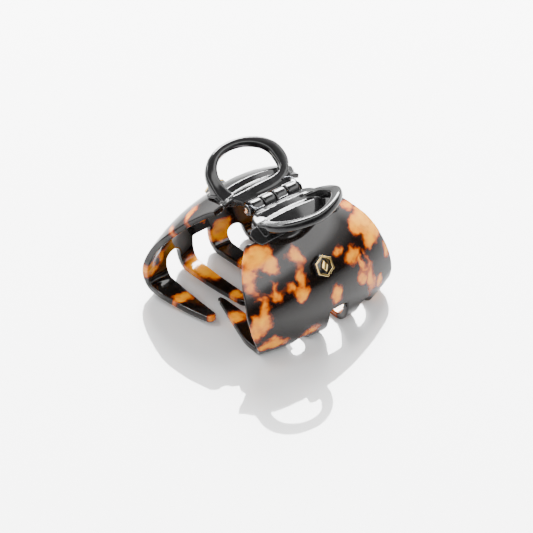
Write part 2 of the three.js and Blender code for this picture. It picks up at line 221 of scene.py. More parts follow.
def box_part(x0, x1, y0, y1, z0, z1):
    return prism([(x0, y0), (x1, y0), (x1, y1), (x0, y1)], z0, z1)


def merge(parts):
    points, faces, base = [], [], 0
    for p, f in parts:
        points.append(p)
        faces += [tuple(i + base for i in face) for face in f]
        base += len(p)
    return np.concatenate(points), faces


def apply_modifiers(obj):
    deps = bpy.context.evaluated_depsgraph_get()
    mesh = bpy.data.meshes.new_from_object(obj.evaluated_get(deps))
    obj.modifiers.clear()
    old = obj.data
    obj.data = mesh
    bpy.data.meshes.remove(old)
    mesh.name = obj.name
    mesh.polygons.foreach_set("use_smooth", [True] * len(mesh.polygons))


def fuse(obj, voxel, rounds):
    """Joins everything in a piece into one skin and rounds its corners, as a moulding has them."""
    remesh = obj.modifiers.new("skin", "REMESH")
    remesh.mode = "VOXEL"
    remesh.voxel_size = voxel * MM
    remesh.use_smooth_shade = True
    smooth = obj.modifiers.new("soft", "SMOOTH")
    smooth.factor = 0.5
    smooth.iterations = rounds
    apply_modifiers(obj)
    return obj


def place(obj, body, material, node):
    """Gives a piece its look and its body, and hides the CAD node it stands for."""
    obj.data.materials.clear()
    obj.data.materials.append(material)
    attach(obj, body)
    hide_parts(node)


# ---------------------------------------------------------------- the shells

EDGE_R = 0.5
OUTLINE_STEP, GRID_STEP, EDGE_STEP = 0.4, 0.8, 0.5
# rings of points inside the outline: their distance from it, and which points of it they follow
RIM_RINGS = ((0.08, 1), (0.24, 1), (EDGE_R, 1), (EDGE_R + 0.55, 2))
GRID_INSET = EDGE_R + 0.95
UV_SCALE = 10                               # the sheet's UV unit is 100 mm


def end_half(knots, tip, s):
    z = profile_at(np.minimum(s, TO_TOOTH))[1]
    k = np.array(knots[::-1], float)
    base = np.interp(z, k[:, 0], k[:, 1])
    t = np.clip((s - TO_TOOTH) / (LENGTH - TO_TOOTH), 0, 1)
    return base + (tip - knots[-1][1]) * t


def tip_inset(s):
    d = np.clip(s - (LENGTH - TIP_ROUND), 0, TIP_ROUND)
    return TIP_ROUND - np.sqrt(TIP_ROUND ** 2 - d ** 2)


def to_tip(s0):
    """Steps along an edge from s0 to the tip, finer over the tip's rounding."""
    rounding = LENGTH - TIP_ROUND * (1 - np.sin(np.linspace(0, np.pi / 2, 9)))
    return np.r_[np.arange(s0, LENGTH - TIP_ROUND, EDGE_STEP), rounding]


def end_edge(knots, tip, s0, sign):
    s = to_tip(s0)
    x = end_half(knots, tip, s)
    wide = np.convolve(np.pad(x, 6, mode="edge"), np.ones(13) / 13, "valid")
    return np.c_[sign * (wide - tip_inset(s)), s]


def gap_edge(gap, side, sign):
    """One side of a gap, from the middle of its root to the tip."""
    root, tip, half, tip_half, straight, start = gap
    s0 = TO_BELLY + start[side]
    if straight:
        head = np.c_[np.linspace(0, half, 10), np.full(10, s0)]
        first = s0 + 0.4
    else:
        a = np.linspace(0, np.pi / 2, 14)
        head = np.c_[half * np.sin(a), s0 + half * (1 - np.cos(a))]
        first = s0 + half + 0.4
    s = to_tip(first)
    t = (s - s0) / (LENGTH - s0)
    edge = np.r_[head, np.c_[half + (tip_half - half) * t ** 1.3 + tip_inset(s), s]]
    t = np.clip((edge[:, 1] - s0) / (LENGTH - s0), 0, 1)
    edge[:, 0] = root + (tip - root) * t + sign * edge[:, 0]
    return edge


def shell_outline(side):
    """The shell laid flat, as a closed outline of (x, s)."""
    left = end_edge(LONG_END, LONG_TIP, 0.6, -1)
    right = end_edge(SHORT_END, SHORT_TIP, SHORT_CORNER + 0.6, 1)
    seat = SEAT_LEFT[side]
    top = np.array([(seat - 1.0, 0.0), (seat - 0.2, 0.2), (seat, 1.0), (seat, SEAT_DEPTH),
                    (SEAT_RIGHT, SEAT_DEPTH), (SEAT_RIGHT + 0.6, SEAT_DEPTH + 0.4),
                    (SEAT_RIGHT + 1.2, SHORT_CORNER + 0.9), (SEAT_RIGHT + 2.6, SHORT_CORNER + 1.1),
                    (SEAT_RIGHT + 3.8, SHORT_CORNER + 0.2), (SEAT_RIGHT + 5.0, SHORT_CORNER)])
    parts = [top, right]
    for gap in reversed(GAPS):
        parts += [gap_edge(gap, side, 1)[::-1], gap_edge(gap, side, -1)]
    parts.append(left[::-1])
    ring = np.concatenate(parts)
    ring = np.r_[ring, ring[:1]]
    length = arc_length(ring)
    keep = np.r_[True, np.diff(length) > 1e-4]
    at = np.linspace(0, length[-1], int(length[-1] / OUTLINE_STEP), endpoint=False)
    ring = np.c_[np.interp(at, length[keep], ring[keep, 0]),
                 np.interp(at, length[keep], ring[keep, 1])]
    for _ in range(3):
        ring = 0.5 * ring + 0.25 * (np.roll(ring, 1, 0) + np.roll(ring, -1, 0))
    return ring


def edge_distance(points, ring):
    """Distance of each point to a closed outline, and whether it is inside."""
    batch = 2000
    a, b = ring, np.roll(ring, -1, 0)
    ab = b - a
    fall = np.where(ab[:, 1] == 0, 1e-9, ab[:, 1])
    best = np.empty(len(points))
    inside = np.empty(len(points), bool)
    for i in range(0, len(points), batch):
        p = points[i:i + batch, None]
        t = np.clip(((p - a) * ab).sum(-1) / (ab ** 2).sum(-1), 0, 1)
        best[i:i + batch] = np.linalg.norm(p - a - t[..., None] * ab, axis=-1).min(1)
        up = (a[:, 1] > p[..., 1]) != (b[:, 1] > p[..., 1])
        cut = a[:, 0] + (p[..., 1] - a[:, 1]) * ab[:, 0] / fall
        inside[i:i + batch] = (up & (p[..., 0] < cut)).sum(1) % 2 == 1
    return best, inside


def flat_points(ring):
    """Points over a flat shell: its outline, rings along its rim and a triangular grid inside."""
    tangent = np.roll(ring, -1, 0) - np.roll(ring, 1, 0)
    inward = np.c_[-tangent[:, 1], tangent[:, 0]] / np.linalg.norm(tangent, axis=1, keepdims=True)
    if edge_distance(ring + inward * 0.3, ring)[1].mean() <= 0.5:
        inward = -inward
    flat = [ring]
    for d, every in RIM_RINGS:
        band = (ring + inward * d)[::every]
        dist, inside = edge_distance(band, ring)
        flat.append(band[inside & (dist > 0.9 * d)])
    xs = np.arange(ring[:, 0].min(), ring[:, 0].max(), GRID_STEP)
    ss = np.arange(ring[:, 1].min(), ring[:, 1].max(), GRID_STEP * 0.87)
    grid = np.array([(x + (GRID_STEP / 2 if j % 2 else 0), s)
                     for j, s in enumerate(ss) for x in xs])
    dist, inside = edge_distance(grid, ring)
    flat.append(grid[inside & (dist > GRID_INSET)])
    return np.concatenate(flat)


def shell_mesh(side):
    """One shell: points, faces and the (x, s) of each point."""
    ring = shell_outline(side)
    n = len(ring)
    out = delaunay_2d_cdt([Vector(p) for p in flat_points(ring)],
                          [(i, (i + 1) % n) for i in range(n)], [], 1, 1e-5)
    flat, tris = np.array([tuple(v) for v in out[0]]), np.array(out[2])
    tris = tris[edge_distance(flat[tris].mean(1), ring)[1]]
    d = np.minimum(edge_distance(flat, ring)[0], EDGE_R)
    drop = EDGE_R - np.sqrt(np.maximum(EDGE_R ** 2 - (EDGE_R - d) ** 2, 0))
    high, low = over(*flat.T, -drop), over(*flat.T, drop - SHELL_T)
    area = np.cross(flat[tris[:, 1]] - flat[tris[:, 0]], flat[tris[:, 2]] - flat[tris[:, 0]])
    tris[area < 0] = tris[area < 0][:, ::-1]
    tris = tris.tolist()
    m = len(flat)
    faces = [(a, b, c) for a, b, c in tris] + [(c + m, b + m, a + m) for a, b, c in tris]
    edges = dict.fromkeys(edge for a, b, c in tris for edge in ((a, b), (b, c), (c, a)))
    faces += [(j, i, i + m, j + m) for i, j in edges if (j, i) not in edges]
    return np.r_[high, low], faces, np.r_[flat, flat]


def make_shell(side, material):
    points, faces, flat = shell_mesh(side)
    obj = new_object(f"{side}_shell_skin", turned(points, side), faces)
    uv = obj.data.uv_layers.new(name="sheet")
    loops = np.empty(len(obj.data.loops), int)
    obj.data.loops.foreach_get("vertex_index", loops)
    uv.data.foreach_set("uv", (flat[loops] * MM * UV_SCALE).ravel())
    place(obj, BODY[side], material, f"{side}_shell")


# ---------------------------------------------------------------- the handles

LEAN = math.radians(21)
HINGE_X = HINGE.x
LOOP_Y = 17.8
LOOP_OUT, LOOP_HOLE = (18.4, 12.7, 13.2), (13.0, 9.3, 8.3)  # half length, far and near half widths
OUT_SQUARE, HOLE_SQUARE = (4.2, 2.3), (5, 5)  # at the clip's long front end, and at the other
HOLE_DEEPER = 1.4
LOOP_T, LOOP_DIP, LOOP_FLOOR = 4.0, 1.5, -4.3
LOOP_ROUND = (0.30, 0.62)                   # the rim's section: squarer at the root than outside
FRONT_DROOP, BACK_DROOP = 3.2, 2.8
SHELL_HALF = 52                             # half length of the egg just below the crown
LEAF_T, LEAF_X, LEAF_Y, LEAF_Z = 2.8, 14.5, 8.2, -1.2
KNUCKLE_R, BORE_R, BARREL_X = 3.0, 1.85, 12.0
KNUCKLE_FILLET = 0.8
# the foot on the shell: its two ends, and how much the second draws in at the top
SADDLE_ENDS = {"front": (-21.6, 20.4, 6.0), "back": (-17.2, 21.4, 0.0)}
SADDLE_LENGTH, SADDLE_THICK, SADDLE_SUNK = 13.8, 0.9, -0.8
SADDLE_LIP = SEAT_DEPTH - GAP - 1.1         # where the foot comes up out of its seat
VOXEL, SMOOTHING = 0.24, 9


def leaned(points, side):
    """From a loop's plane to the back jaw's frame: x along the hinge, y out, z up off the plane."""
    p = np.asarray(points, float)
    x, y, z = p[..., 0], p[..., 1], p[..., 2]
    return np.stack([x + HINGE_X * TURN[side], y * math.cos(LEAN) - z * math.sin(LEAN),
                     HINGE.z + y * math.sin(LEAN) + z * math.cos(LEAN)], -1)


def signed_power(v, power):
    return np.sign(v) * np.abs(v) ** power


def oval(sizes, squareness, n, side, deeper=0.0):
    """A closed oval, squarer on its hinge half; squareness[0] is for the clip's long front end."""
    half_x, far, near = sizes
    c, s = np.cos(circle(n)), np.sin(circle(n))
    power = np.where(s < 0, 2 / np.where(c * TURN[side] < 0, squareness[0], squareness[1]), 1.0)
    near = near + deeper * smoothstep(-c * TURN[side], -1, 1)
    return np.c_[half_x * signed_power(c, power),
                 LOOP_Y + np.where(s < 0, near, far) * signed_power(s, power)]


def droop(side, x, y):
    """How far the loop sinks towards the clip's long front end."""
    if side == "front":
        return FRONT_DROOP * smoothstep(x, -19, 3) * smoothstep(y, 4, 13)
    root = np.maximum(smoothstep(y, 3, 9) - smoothstep(y, 12, 28), 0)
    return BACK_DROOP * smoothstep(-x, 2, 17) * root


def shell_below(x, y):
    """The z, square to the loop's plane, at which the shell's outer surface lies under a point."""
    z = np.full(np.shape(y), -3.0)
    k = np.sqrt(1 - (x / SHELL_HALF) ** 2)
    for _ in range(8):
        across = y * math.cos(LEAN) - z * math.sin(LEAN)
        top = BELLY_Z + CROWN * k * np.sqrt(np.maximum(1 - (across / BELLY_Y / k) ** 2, 0))
        z = (top - HINGE.z - y * math.sin(LEAN)) / math.cos(LEAN)
    return z


def loop_ring(side):
    """The finger loop, its root drawn down onto the shell."""
    around, section = 240, 48
    out = oval(LOOP_OUT, OUT_SQUARE, around, side)
    hole = oval(LOOP_HOLE, HOLE_SQUARE, around, side, HOLE_DEEPER)
    middle, half = (out + hole) / 2, (out - hole) / 2
    near, far = LOOP_ROUND
    p = (near + (far - near) * smoothstep(middle[:, 1], 8, 20))[:, None]
    u, w = signed_power(np.cos(circle(section)), p), signed_power(np.sin(circle(section)), p)
    flat = middle[:, None] + half[:, None] * u[..., None]
    x, y = flat[..., 0], flat[..., 1]
    z = w * LOOP_T / 2 - LOOP_DIP * (1 - smoothstep(y, 6, 22)) - droop(side, x, y)
    z = np.maximum(z, LOOP_FLOOR - 0.25 * np.maximum(0, y - 9) + 0.3 * w)
    reach = 9 - 0.25 * x * TURN[side]
    foot = (1 - smoothstep(y, reach, reach + 4)) * np.maximum(-w, 0)
    z += foot * np.minimum(shell_below(x, y) - 0.4 - z, 0)
    return loft(np.stack([x, y, z], -1))


def knuckle(x0, x1):
    f = KNUCKLE_FILLET
    turn = np.linspace(0, math.pi / 2, 5)
    left = [(x0 + f * (1 - math.sin(t)), KNUCKLE_R - f * (1 - math.cos(t))) for t in turn[::-1]]
    right = [(x1 - f * (1 - math.sin(t)), KNUCKLE_R - f * (1 - math.cos(t))) for t in turn]
    return revolve(([(x0, BORE_R)] + left + right + [(x1, BORE_R)])[::-1], 64)


def foot_height(s):
    """The foot's height over the shell: sunk in the seat, then up over the shell."""
    top = GAP + SADDLE_THICK
    return SADDLE_SUNK + (top - SADDLE_SUNK) * smoothstep(s, SADDLE_LIP - 2.2, SADDLE_LIP + 0.3)


def slab(ends, s0, s1, low):
    """A closed plate that follows the shell, from a height over its outer surface to the foot's."""
    rows, cols = max(3, int((s1 - s0) / 0.5)), 70
    s = np.linspace(s0, s1, rows)
    inset = 0.12 * np.maximum(0, s - 10) ** 2
    left = ends[0] + inset
    right = ends[1] - inset - ends[2] * np.maximum(0, 1 - s / SEAT_DEPTH)
    x = left[:, None] + np.linspace(0, 1, cols) * (right - left)[:, None]
    ss = np.repeat(s[:, None], cols, 1)
    top, bottom = over(x, ss, foot_height(ss)), over(x, ss, np.full(x.shape, low))
    n = rows * cols
    points = np.r_[top.reshape(-1, 3), bottom.reshape(-1, 3)]
    faces = []
    for r in range(rows - 1):
        for c in range(cols - 1):
            a = r * cols + c
            faces.append((a, a + 1, a + cols + 1, a + cols))
            faces.append((n + a, n + a + cols, n + a + cols + 1, n + a + 1))
    for r in range(rows - 1):
        a, b = r * cols, r * cols + cols - 1
        faces.append((a, a + cols, n + a + cols, n + a))
        faces.append((b, n + b, n + b + cols, b + cols))
    for c in range(cols - 1):
        a = (rows - 1) * cols + c
        faces.append((c, n + c, n + c + 1, c + 1))
        faces.append((a, a + 1, n + a + 1, n + a))
    return points, faces


def make_handle(side, material):
    root, wide = KNUCKLE_R + 0.5, KNUCKLE_R + 3.5
    low, high = LEAF_Z - LEAF_T / 2, LEAF_Z + LEAF_T / 2
    leaf = prism([(-BARREL_X, root), (BARREL_X, root), (LEAF_X, wide), (LEAF_X, LEAF_Y),
                  (-LEAF_X, LEAF_Y), (-LEAF_X, wide)], low, high)
    flat = [loop_ring(side), leaf]
    for x0 in (-BARREL_X / 2, BARREL_X / 2):
        a, b = x0 + GAP / 2, x0 + BARREL_X / 2 - GAP / 2
        flat += [knuckle(a, b), box_part(a, b, BORE_R + 0.15, root + 1.4, low, high)]
    ends = SADDLE_ENDS[side]
    foot = [slab(ends, 0.2, SADDLE_LIP + 0.9, -SHELL_T), slab(ends, SADDLE_LIP, SADDLE_LENGTH, GAP)]
    points, faces = merge([(leaned(p, side), f) for p, f in flat] + foot)
    skin = new_object(f"{side}_handle_moulding", turned(points, side), faces)
    place(fuse(skin, VOXEL, SMOOTHING), BODY[side], material, f"{side}_handle")


# ---------------------------------------------------------------- the hinge's small pieces

WIRE_R = 0.26
COIL_R, COIL_TURNS, COIL_POINTS = 1.3, 22, 20
PIN_R, PIN_HALF = 0.75, BARREL_X + 2.1
# the pin's head, as distances from its end and radii
PIN_HEAD = [(-0.02, 0.25), (0.02, 0.55), (0.12, 0.85), (0.28, 1.03), (0.42, 1.1), (0.6, 1.1),
            (0.66, 1.03), (0.66, PIN_R)]
WASHER_X, WASHER_IN, WASHER_OUT, WASHER_HALF, WASHER_BEVEL = BARREL_X + 1.05, 1.0, 2.3, 0.2, 0.07


def on_hinge(points):
    return points + [HINGE_X, 0, HINGE.z]


def frames_along(path):
    """Two steady normals at each point of a path."""
    t = np.gradient(path, axis=0)
    t /= np.linalg.norm(t, axis=1, keepdims=True)
    n = np.empty_like(t)
    first = np.cross(t[0], [0.0, 0.0, 1.0] if abs(t[0][2]) < 0.9 else [1.0, 0.0, 0.0])
    n[0] = first / np.linalg.norm(first)
    for i in range(1, len(path)):
        v = n[i - 1] - t[i] * (n[i - 1] @ t[i])
        n[i] = v / np.linalg.norm(v)
    return n, np.cross(t, n)


def wire(path, radius, sides=10):
    n, b = frames_along(path)
    c, s = np.cos(circle(sides))[None, :, None], np.sin(circle(sides))[None, :, None]
    rings = path[:, None] + radius * (c * n[:, None] + s * b[:, None])
    return loft(rings, closed_rows=False, capped=True)


def spline(points, n):
    """A Catmull-Rom curve through the points."""
    p = np.array(points, float)
    p = np.r_[[2 * p[0] - p[1]], p, [2 * p[-1] - p[-2]]]
    out = []
    for i in range(1, len(p) - 2):
        t = np.linspace(0, 1, n, endpoint=False)[:, None]
        a, b, c, d = p[i - 1:i + 3]
        out.append(0.5 * (2 * b + (c - a) * t + (2 * a - 5 * b + 4 * c - d) * t ** 2
                          + (3 * b - a - 3 * c + d) * t ** 3))
    return np.concatenate(out + [p[-2:-1]])


def make_spring(material):
    """A coil inside the knuckles, with a leg over each handle's root."""
    end = BARREL_X + 0.5
    top = LOOP_T / 2 - LOOP_DIP + GAP + WIRE_R
    leg = leaned([(end, 1.0, 1.5), (end, 1.9, 2.0), (end, 3.5, 1.6), (end - 0.6, 5.0, top),
                  (end - 3, 5.8, top)], "back")
    leg -= [HINGE_X, 0, HINGE.z]
    start = math.atan2(leg[0][2], leg[0][1])
    a = np.linspace(0, 1, COIL_TURNS * COIL_POINTS)
    angle = start - 0.9 - a * (COIL_TURNS * 2 * np.pi + np.pi - 1.8)
    coil = np.c_[(end - 0.1) * (1 - 2 * a), COIL_R * np.cos(angle), COIL_R * np.sin(angle)]
    path = spline(np.r_[leg[::-1], coil[::2], leg * [-1, -1, 1]], 3)
    points, faces = wire(path, WIRE_R)
    obj = new_object("torsion_spring_wire", on_hinge(points), faces)
    obj.data.materials.append(material)
    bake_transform(obj)
    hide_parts("torsion_spring")


def make_pin(material):
    left = [(x - PIN_HALF, r) for x, r in PIN_HEAD]
    points, faces = turned_bar(left + [(-x, r) for x, r in left[::-1]], 40)
    obj = new_object("hinge_pin_rod", on_hinge(points), faces)
    place(obj, "front_jaw", material, "hinge_pin")


def make_washer(name, side, material):
    x, r0, r1, h, f = side * WASHER_X, WASHER_IN, WASHER_OUT, WASHER_HALF, WASHER_BEVEL
    profile = [(x - h, r0 + f), (x - h, r1 - f), (x - h + f, r1), (x + h - f, r1),
               (x + h, r1 - f), (x + h, r0 + f), (x + h - f, r0), (x - h + f, r0)]
    points, faces = revolve(profile[::-1], 56)
    obj = new_object(f"{name}_ring", on_hinge(points), faces)
    place(obj, "front_jaw", material, name)


# ---------------------------------------------------------------- the badge

BADGE_R = 4.6
BADGE_ANGLE = 32.4                          # degrees up from the belly
FRAME_OUT, FRAME_IN = BADGE_R - 0.1, BADGE_R - 1.05
LOZENGE_X, LOZENGE_Y = 1.55, 2.4
BASE_LEVELS, GOLD_LEVELS = (0.4, 2.05), (2.1, 2.85)
BASE_BEVEL, GOLD_BEVEL = 0.2, 0.16


def hexagon(radius):
    a = np.radians(90 + 60 * np.arange(6))
    return np.c_[radius * np.cos(a), radius * np.sin(a)]


def hoop(outline, inner, z0, z1):
    return loft(np.array([[(*p, z) for p in ring] for ring, z in
                          ((outline, z0), (inner, z0), (inner, z1), (outline, z1))]))


def make_badge_piece(side, name, part, material, bevel):
    s = TO_BELLY * (TOP_ANGLE - BADGE_ANGLE) / TOP_ANGLE
    n = outward(0.0, s)
    up = outer(0.0, s - 1) - outer(0.0, s + 1)
    up /= np.linalg.norm(up)
    across = np.cross(up, n)
    points, faces = part
    placed = outer(0.0, s) + points[:, :1] * across + points[:, 1:2] * up + points[:, 2:] * n
    obj = new_object(f"{side}_{name}_piece", turned(placed, side), faces, smooth=False)
    mod = obj.modifiers.new("edge", "BEVEL")
    mod.width, mod.segments = bevel * MM, 3
    mod.limit_method, mod.angle_limit = "ANGLE", math.radians(25)
    mod.harden_normals = True
    apply_modifiers(obj)
    place(obj, BODY[side], material, f"{side}_{name}")


def make_badge(side, black, gold):
    base = prism(hexagon(BADGE_R), *BASE_LEVELS)
    rim = hoop(hexagon(FRAME_OUT), hexagon(FRAME_IN), *GOLD_LEVELS)
    lozenge = prism([(LOZENGE_X, 0), (0, LOZENGE_Y), (-LOZENGE_X, 0), (0, -LOZENGE_Y)],
                    *GOLD_LEVELS)
    make_badge_piece(side, "emblem_base", base, black, BASE_BEVEL)
    make_badge_piece(side, "emblem_frame", rim, gold, GOLD_BEVEL)
    make_badge_piece(side, "emblem_lozenge", lozenge, gold, GOLD_BEVEL)


# ---------------------------------------------------------------- materials

class Graph:
    """A small helper for building the nodes of a material or a world."""

    def __init__(self, owner, shader="Principled BSDF"):
        owner.use_nodes = True
        self.nodes, self.links = owner.node_tree.nodes, owner.node_tree.links
        self.shader = self.nodes[shader]

    def feed(self, socket, value):
        if isinstance(value, bpy.types.NodeSocket):
            self.links.new(value, socket)
        else:
            socket.default_value = value

    def node(self, kind, inputs=None, **settings):
        node = self.nodes.new(kind)
        for key, value in settings.items():
            setattr(node, key, value)
        for key, value in (inputs or {}).items():
            self.feed(node.inputs[key], value)
        return node

    def math(self, operation, a, b=0.0, c=0.0):
        return self.node("ShaderNodeMath", {0: a, 1: b, 2: c}, operation=operation).outputs[0]

    def vector(self, operation, *inputs):
        node = self.node("ShaderNodeVectorMath", dict(enumerate(inputs)), operation=operation)
        return node.outputs[0]

    def scaled(self, vector, scale):
        return self.node("ShaderNodeVectorMath", {0: vector, "Scale": scale},
                         operation="SCALE").outputs[0]

    def noise(self, vector, scale, detail=2.0, rough=0.5, output="Fac"):
        return self.node("ShaderNodeTexNoise", {"Vector": vector, "Scale": scale, "Detail": detail,
                                                "Roughness": rough}).outputs[output]

    def mapped(self, value, **limits):
        """Map Range, with its limits given as from_min, from_max, to_min and to_max."""
        inputs = {key.replace("_", " ").title(): limit for key, limit in limits.items()}
        return self.node("ShaderNodeMapRange", {"Value": value, **inputs}).outputs[0]

    def mix(self, factor, a, b, blend="MIX"):
        return self.node("ShaderNodeMix", {"Factor": factor, 6: a, 7: b}, data_type="RGBA",
                         blend_type=blend).outputs[2]

    def ramp(self, factor, stops):
        node = self.node("ShaderNodeValToRGB", {"Fac": factor})
        ramp = node.color_ramp
        while len(ramp.elements) < len(stops):
            ramp.elements.new(0.5)
        for element, (at, colour) in zip(ramp.elements, stops):
            element.position = at
            element.color = (*colour, 1.0)
        return node.outputs["Color"]

    def set(self, **values):
        for key, value in values.items():
            self.feed(self.shader.inputs[key.replace("_", " ")], value)

    def bump(self, height, strength, distance):
        bump = self.node("ShaderNodeBump", {"Height": height, "Strength": strength,
                                            "Distance": distance})
        self.links.new(bump.outputs["Normal"], self.shader.inputs["Normal"])


# amber patches in the sheet, in mm on the flat shell: middle (x, s), half sizes, turn in degrees
AMBER = {
    "front": [
        (-32, 24, 7.2, 9.5, 8), (-25.5, 22.5, 5.4, 5.0, 0), (-27, 12.5, 3.8, 3.4, 0),
        (-29.5, 31, 5, 4.5, 0), (-10.5, 29.5, 2.6, 2, 30), (-17, 33, 4.6, 3.4, 20),
        (-22, 38, 3.4, 5.5, 10), (-37.5, 40, 2.4, 4.4, 0), (-19.5, 45, 3.2, 4.4, 25),
        (-24.5, 48, 2.6, 7, 0), (-5, 45, 3.8, 4.2, 0), (10, 32, 2.2, 5, -10), (11, 38.5, 4, 3.8, 0),
        (8.6, 24, 3.2, 4.4, 25), (22.8, 16.5, 7, 5.4, 10), (19.5, 22, 4.2, 5, 20),
        (28.5, 24, 3.4, 8, 0), (22, 33.5, 3.4, 4.6, 35), (29.2, 42, 4.0, 9.5, -6),
        (32.5, 48, 2.8, 5, 0), (25.5, 57, 6.8, 3, 0), (8, 56.5, 4.6, 2.2, 15), (15, 35, 1.6, 3, 30),
        (22.6, 89, 4.5, 4.6, 0), (-33, 66, 4.5, 6, 10), (-32, 92, 4, 5, 0), (-14, 70, 4, 7, 0),
        (-13, 98, 3, 4, 0), (4, 74, 4, 5, 0), (3.5, 96, 3, 5, 0), (-30, 52, 3, 4, 0),
    ],
    "back": [
        (-36, 52, 5.5, 6, 0), (-31, 50, 3.5, 5, 0), (-32.6, 82, 5, 4.4, 0), (-30.7, 105.5, 4, 5, 0),
        (-11.6, 71, 7, 11.5, 0), (-13.5, 96, 3.2, 3.4, 0), (4.2, 55.5, 6.4, 6.4, 0),
        (3, 80, 3.2, 3, 0), (-25.5, 14, 5, 2.6, 25), (-33, 21.5, 4.5, 1.8, 50), (21, 20, 6, 5, 20),
        (27, 33, 4, 7, 0), (-14, 28, 5, 7, 30), (2, 26, 4, 5, -20), (12, 33, 5, 4, 0),
        (-6, 43, 3.5, 4, 0), (-26, 36, 4, 5, 0), (25, 52, 5, 4, 0), (21, 74, 4.5, 6, 0),
        (20, 94, 3.5, 4.5, 0),
    ],
}
# dark spots inside the amber
DARK = {
    "front": [(25, 29, 2.6, 4.6, 10), (31.5, 37, 2.6, 3.4, 0), (-22.5, 36, 1.1, 3.2, 10),
              (-30, 37.5, 3, 1.6, 15), (18.5, 31, 1.8, 3.2, -20)],
    "back": [(-33.5, 51, 1.2, 3, -30), (-12, 31, 2, 2.4, 0), (22, 22, 2, 1.6, 0),
             (-39, 62, 2, 3, 0), (13.5, 49, 3.4, 9, 0)],
}
PATCH_BLEND = 0.8                           # mm over which neighbouring patches flow together
PATCH_WARP = 6.5                            # mm by which noise bends the patches
PATCH_RAGGED = 0.9                          # mm by which noise moves their edges
UV_TO_MM = 1 / (MM * UV_SCALE)
TORTOISE = [  # near-black brown, red-brown edge, amber
    (0.0, (0.006, 0.004, 0.003)), (0.28, (0.010, 0.005, 0.004)), (0.40, (0.11, 0.016, 0.003)),
    (0.52, (0.46, 0.085, 0.002)), (0.66, (0.80, 0.24, 0.001)), (1.0, (0.95, 0.37, 0.002))]
CLOUDS = [(0.3, (0.72, 0.62, 0.6)), (0.45, (0.95, 0.92, 1)), (0.7, (1.05, 1.2, 1.3))]


def patch_field(g, at, patches):
    """How deep a point lies inside the nearest patch, in mm; below zero outside all of them."""
    total = None
    for x, s, rx, rs, turn in patches:
        near = g.node("ShaderNodeMapping", {
            "Vector": at, "Location": (x, s, 0), "Rotation": (0, 0, math.radians(turn)),
            "Scale": (rx, rs, 1)}, vector_type="TEXTURE").outputs[0]
        length = g.node("ShaderNodeVectorMath", {0: near}, operation="LENGTH").outputs["Value"]
        size = min(rx, rs)
        depth = g.math("MULTIPLY_ADD", length, -size, size)
        total = depth if total is None else g.math("SMOOTH_MAX", total, depth, PATCH_BLEND)
    return total


def tortoise(side):
    """Polished tortoiseshell acetate: clouded amber in near-black brown, all through the sheet."""
    material = bpy.data.materials.new(f"tortoiseshell_{side}")
    g = Graph(material)
    uv = g.node("ShaderNodeTexCoord").outputs["UV"]
    flat = g.scaled(uv, UV_TO_MM)
    warp = g.vector("SUBTRACT", g.noise(flat, 0.16, 2.5, 0.55, "Color"), (0.5, 0.5, 0.5))
    bent = g.vector("ADD", flat, g.scaled(warp, PATCH_WARP))
    level = g.vector("MULTIPLY", bent, (1, 1, 0))
    amber, dark = patch_field(g, level, AMBER[side]), patch_field(g, level, DARK[side])
    depth = g.math("SMOOTH_MIN", amber, g.math("MULTIPLY", dark, -1.0), PATCH_BLEND)
    ragged = g.math("MULTIPLY_ADD", g.noise(flat, 0.45), 2 * PATCH_RAGGED, -PATCH_RAGGED)
    share = g.mapped(g.math("ADD", depth, ragged), from_min=-2.0, from_max=3.0)
    tint = g.ramp(g.noise(flat, 0.22, 3), CLOUDS)
    colour = g.mix(1.0, g.ramp(share, TORTOISE), tint, "MULTIPLY")
    g.set(Base_Color=colour, Subsurface_Weight=0.12, Subsurface_Radius=(1.0, 0.45, 0.12),
          Subsurface_Scale=0.0016, IOR=1.5,
          Roughness=g.mapped(g.noise(flat, 0.35, 3, 0.6), to_min=0.05, to_max=0.11))
    g.bump(g.noise(flat, 0.12), 0.12, 0.0004)
    return material


def gloss_black():
    """Moulded black plastic: polished, with faint waves and slightly uneven gloss."""
    material = bpy.data.materials.new("gloss_black")
    g = Graph(material)
    at = g.node("ShaderNodeTexCoord").outputs["Object"]
    shades = [(0.3, (0.004, 0.004, 0.0042)), (0.7, (0.009, 0.0088, 0.009))]
    g.set(Base_Color=g.ramp(g.noise(at, 260, 3), shades), IOR=1.5,
          Roughness=g.mapped(g.noise(at, 420, 4, 0.6), to_min=0.07, to_max=0.16))
    g.bump(g.noise(at, 190), 0.10, 0.0005)
    return material


def metal(name, low, high, rough, scale):
    """Plated metal with a faintly uneven colour and polish."""
    material = bpy.data.materials.new(name)
    g = Graph(material)
    at = g.node("ShaderNodeTexCoord").outputs["Object"]
    g.set(Metallic=1.0, Base_Color=g.ramp(g.noise(at, scale, 3, 0.6), [(0.3, low), (0.7, high)]),
          Roughness=g.mapped(g.noise(at, scale * 2.5, 4, 0.65), to_min=rough[0], to_max=rough[1]))
    g.bump(g.noise(at, scale * 3), 0.04, 0.0002)
    return material


# ---------------------------------------------------------------- build

BLACK = gloss_black()
STEEL = metal("bright_steel", (0.42, 0.44, 0.47), (0.6, 0.62, 0.66), (0.18, 0.32), 700)
BLUED = metal("blued_spring_steel", (0.07, 0.074, 0.08), (0.15, 0.157, 0.17), (0.2, 0.34), 700)
COPPER = metal("copper_plate", (0.78, 0.42, 0.24), (0.92, 0.56, 0.34), (0.15, 0.28), 700)
GOLD = metal("gold_plate", (0.83, 0.57, 0.2), (0.95, 0.72, 0.32), (0.14, 0.24), 500)

